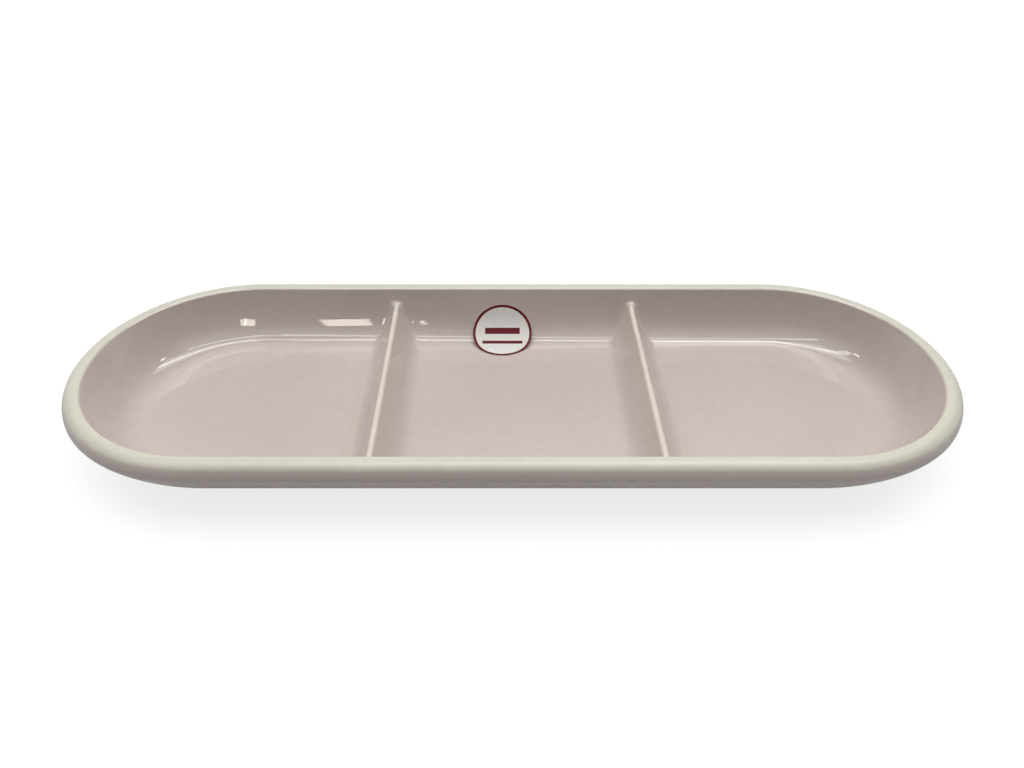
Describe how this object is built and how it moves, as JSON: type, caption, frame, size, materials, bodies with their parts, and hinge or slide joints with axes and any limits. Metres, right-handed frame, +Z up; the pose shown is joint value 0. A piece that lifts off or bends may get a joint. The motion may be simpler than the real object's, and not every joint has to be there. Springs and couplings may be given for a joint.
{
  "type": "divided dish",
  "caption": "Long glazed stoneware serving dish with half-round ends, a thick cream lip, low partitions between its wells and a foot ring underneath.",
  "frame": {"origin": "middle of the plane that the foot ring rests on", "axes": "+X along the dish, +Y across it towards the far side in the picture, +Z up"},
  "size_m": [0.3, 0.107, 0.024],
  "materials": {
    "clay": "bare fired stoneware, matt and slightly gritty",
    "mauve_glaze": "dusty mauve gloss glaze, paler where it runs thin",
    "cream_glaze": "cream gloss glaze",
    "label_paper": "white coated paper with a plain crimson ring"
  },
  "bodies": {
    "root": {"tray_body": "clay", "divider_left": "clay", "divider_right": "clay", "well_glaze_left": "mauve_glaze", "well_glaze_centre": "mauve_glaze", "well_glaze_right": "mauve_glaze", "ridge_glaze_left": "cream_glaze", "ridge_glaze_right": "cream_glaze", "rim_glaze": "cream_glaze", "outer_glaze": "mauve_glaze", "base_glaze": "mauve_glaze", "round_label": "label_paper"}
  },
  "joints": []
}
